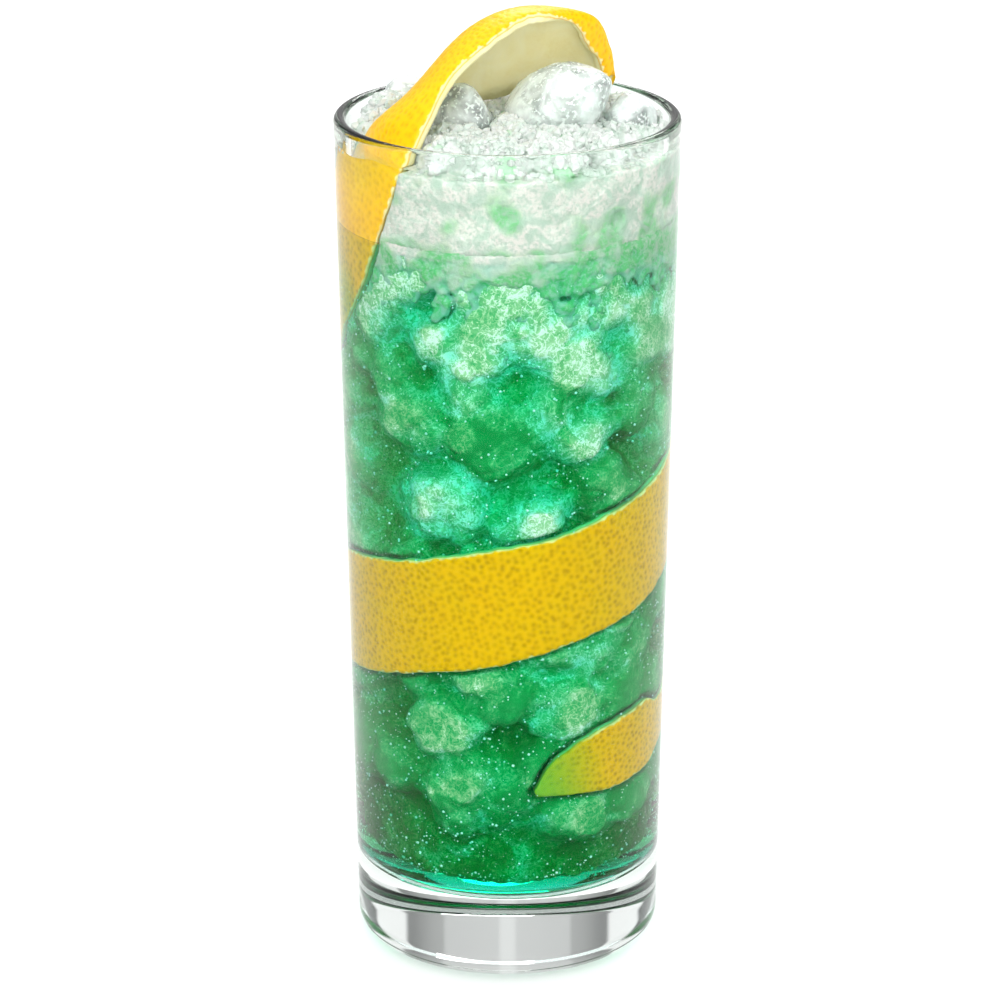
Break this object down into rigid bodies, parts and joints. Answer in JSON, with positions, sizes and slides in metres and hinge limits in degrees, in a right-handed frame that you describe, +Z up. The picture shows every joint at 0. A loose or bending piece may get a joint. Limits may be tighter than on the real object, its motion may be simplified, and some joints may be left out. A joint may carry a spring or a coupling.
{
  "type": "mojito-style highball cocktail",
  "caption": "Tall clear tumbler of emerald iced cocktail heaped with ice, a long ribbon of lemon peel winding down inside the wall and arching over the ice above the rim.",
  "frame": {"origin": "middle of the glass's foot, on the surface it stands on", "axes": "+Z up, -Y towards the viewer, so that the peel's arch rises from the left front and comes down at the right back"},
  "size_m": [0.066, 0.066, 0.1873],
  "materials": {
    "glass": "clear soda-lime glass, fire polished",
    "drink": "emerald green iced drink, slightly cloudy",
    "crushed_ice": "white frosty crushed ice, wet",
    "ice": "melting ice, half clear with frosted patches",
    "lemon_peel": "waxy pored lemon skin outside, pale spongy pith inside"
  },
  "bodies": {
    "root": {"glass": "glass", "drink": "drink", "crushed_ice": "crushed_ice", "ice_lump_left": "ice", "ice_lump_big": "ice", "ice_lump_back": "ice", "ice_lump_side": "ice", "lemon_peel": "lemon_peel"}
  },
  "joints": []
}
